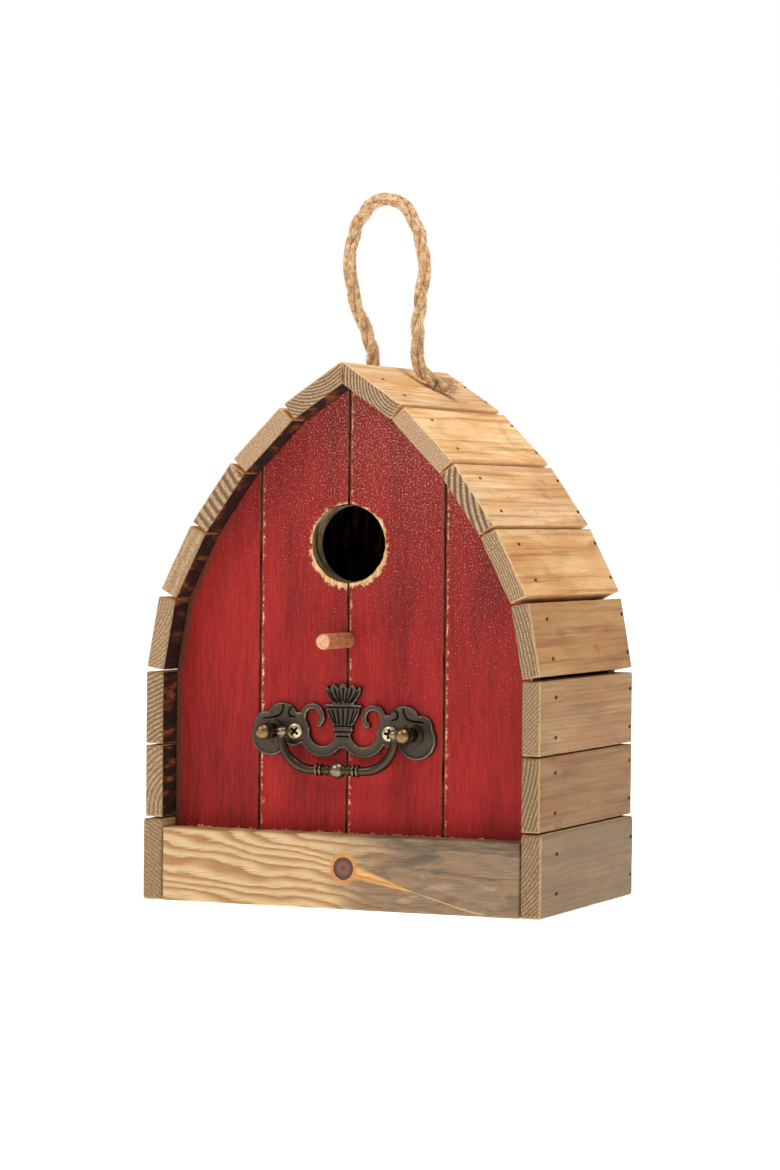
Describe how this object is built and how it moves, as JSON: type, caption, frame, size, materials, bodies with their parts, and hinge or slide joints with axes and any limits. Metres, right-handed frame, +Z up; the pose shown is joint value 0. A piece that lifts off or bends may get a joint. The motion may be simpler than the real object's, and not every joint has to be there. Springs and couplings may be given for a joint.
{
  "type": "birdhouse",
  "caption": "Arched wooden birdhouse with nailed slats, red board front, round entrance, perch, swinging bail pull and a rope hanger.",
  "frame": {"origin": "centre of the base's underside", "axes": "+Z up to the ridge, -Y out of the entrance, +X to the right seen from the front"},
  "size_m": [0.168, 0.1245, 0.2819],
  "materials": {
    "slat_pine": "sanded bare pine with grey end grain",
    "base_pine": "weathered bare pine",
    "apron_pine": "bare knotty pine",
    "back_pine": "bare sawn pine",
    "red_painted_pine": "red paint rubbed back at the edges",
    "perch_dowel": "sanded dowel",
    "antique_pewter": "die-cast zinc alloy, antique pewter plated",
    "worn_bronze": "antique bronze plated, rubbed bright on the tips",
    "zinc_screw": "yellow zinc plated steel",
    "tin_sheet": "dull galvanised sheet",
    "brad_steel": "dark steel wire",
    "jute_rope": "two-strand twisted jute"
  },
  "bodies": {
    "house": {"left_slat_1": "slat_pine", "left_slat_2": "slat_pine", "left_slat_3": "slat_pine", "left_slat_4": "slat_pine", "left_slat_5": "slat_pine", "left_slat_6": "slat_pine", "left_slat_7": "slat_pine", "right_slat_1": "slat_pine", "right_slat_2": "slat_pine", "right_slat_3": "slat_pine", "right_slat_4": "slat_pine", "right_slat_5": "slat_pine", "right_slat_6": "slat_pine", "right_slat_7": "slat_pine", "front_board_1": "red_painted_pine", "front_board_2": "red_painted_pine", "front_board_3": "red_painted_pine", "front_board_4": "red_painted_pine", "back_board_1": "back_pine", "back_board_2": "back_pine", "back_board_3": "back_pine", "base_side_left": "base_pine", "base_side_right": "base_pine", "base_front_board": "apron_pine", "floor_board": "back_pine", "left_slat_brads": "brad_steel", "right_slat_brads": "brad_steel", "base_brads": "brad_steel", "perch": "perch_dowel", "pull_backplate": "antique_pewter", "pull_post_left": "worn_bronze", "pull_post_right": "worn_bronze", "pull_screws": "zinc_screw", "cleanout_screw": "zinc_screw", "hanger_rope": "jute_rope", "rope_staples": "brad_steel"},
    "bail": {"pull_bail": "antique_pewter"},
    "cover": {"cleanout_cover": "tin_sheet"}
  },
  "joints": [
    {"name": "bail_swing", "type": "hinge", "parent": "house", "child": "bail", "pos_m": [-0.0025, -0.0486, 0.068], "axis": [-1, 0, 0], "range_deg": [-10, 180]},
    {"name": "cover_swing", "type": "hinge", "parent": "house", "child": "cover", "pos_m": [0, 0.0549, 0.103], "axis": [0, 1, 0], "range_deg": [-150, 150]}
  ]
}
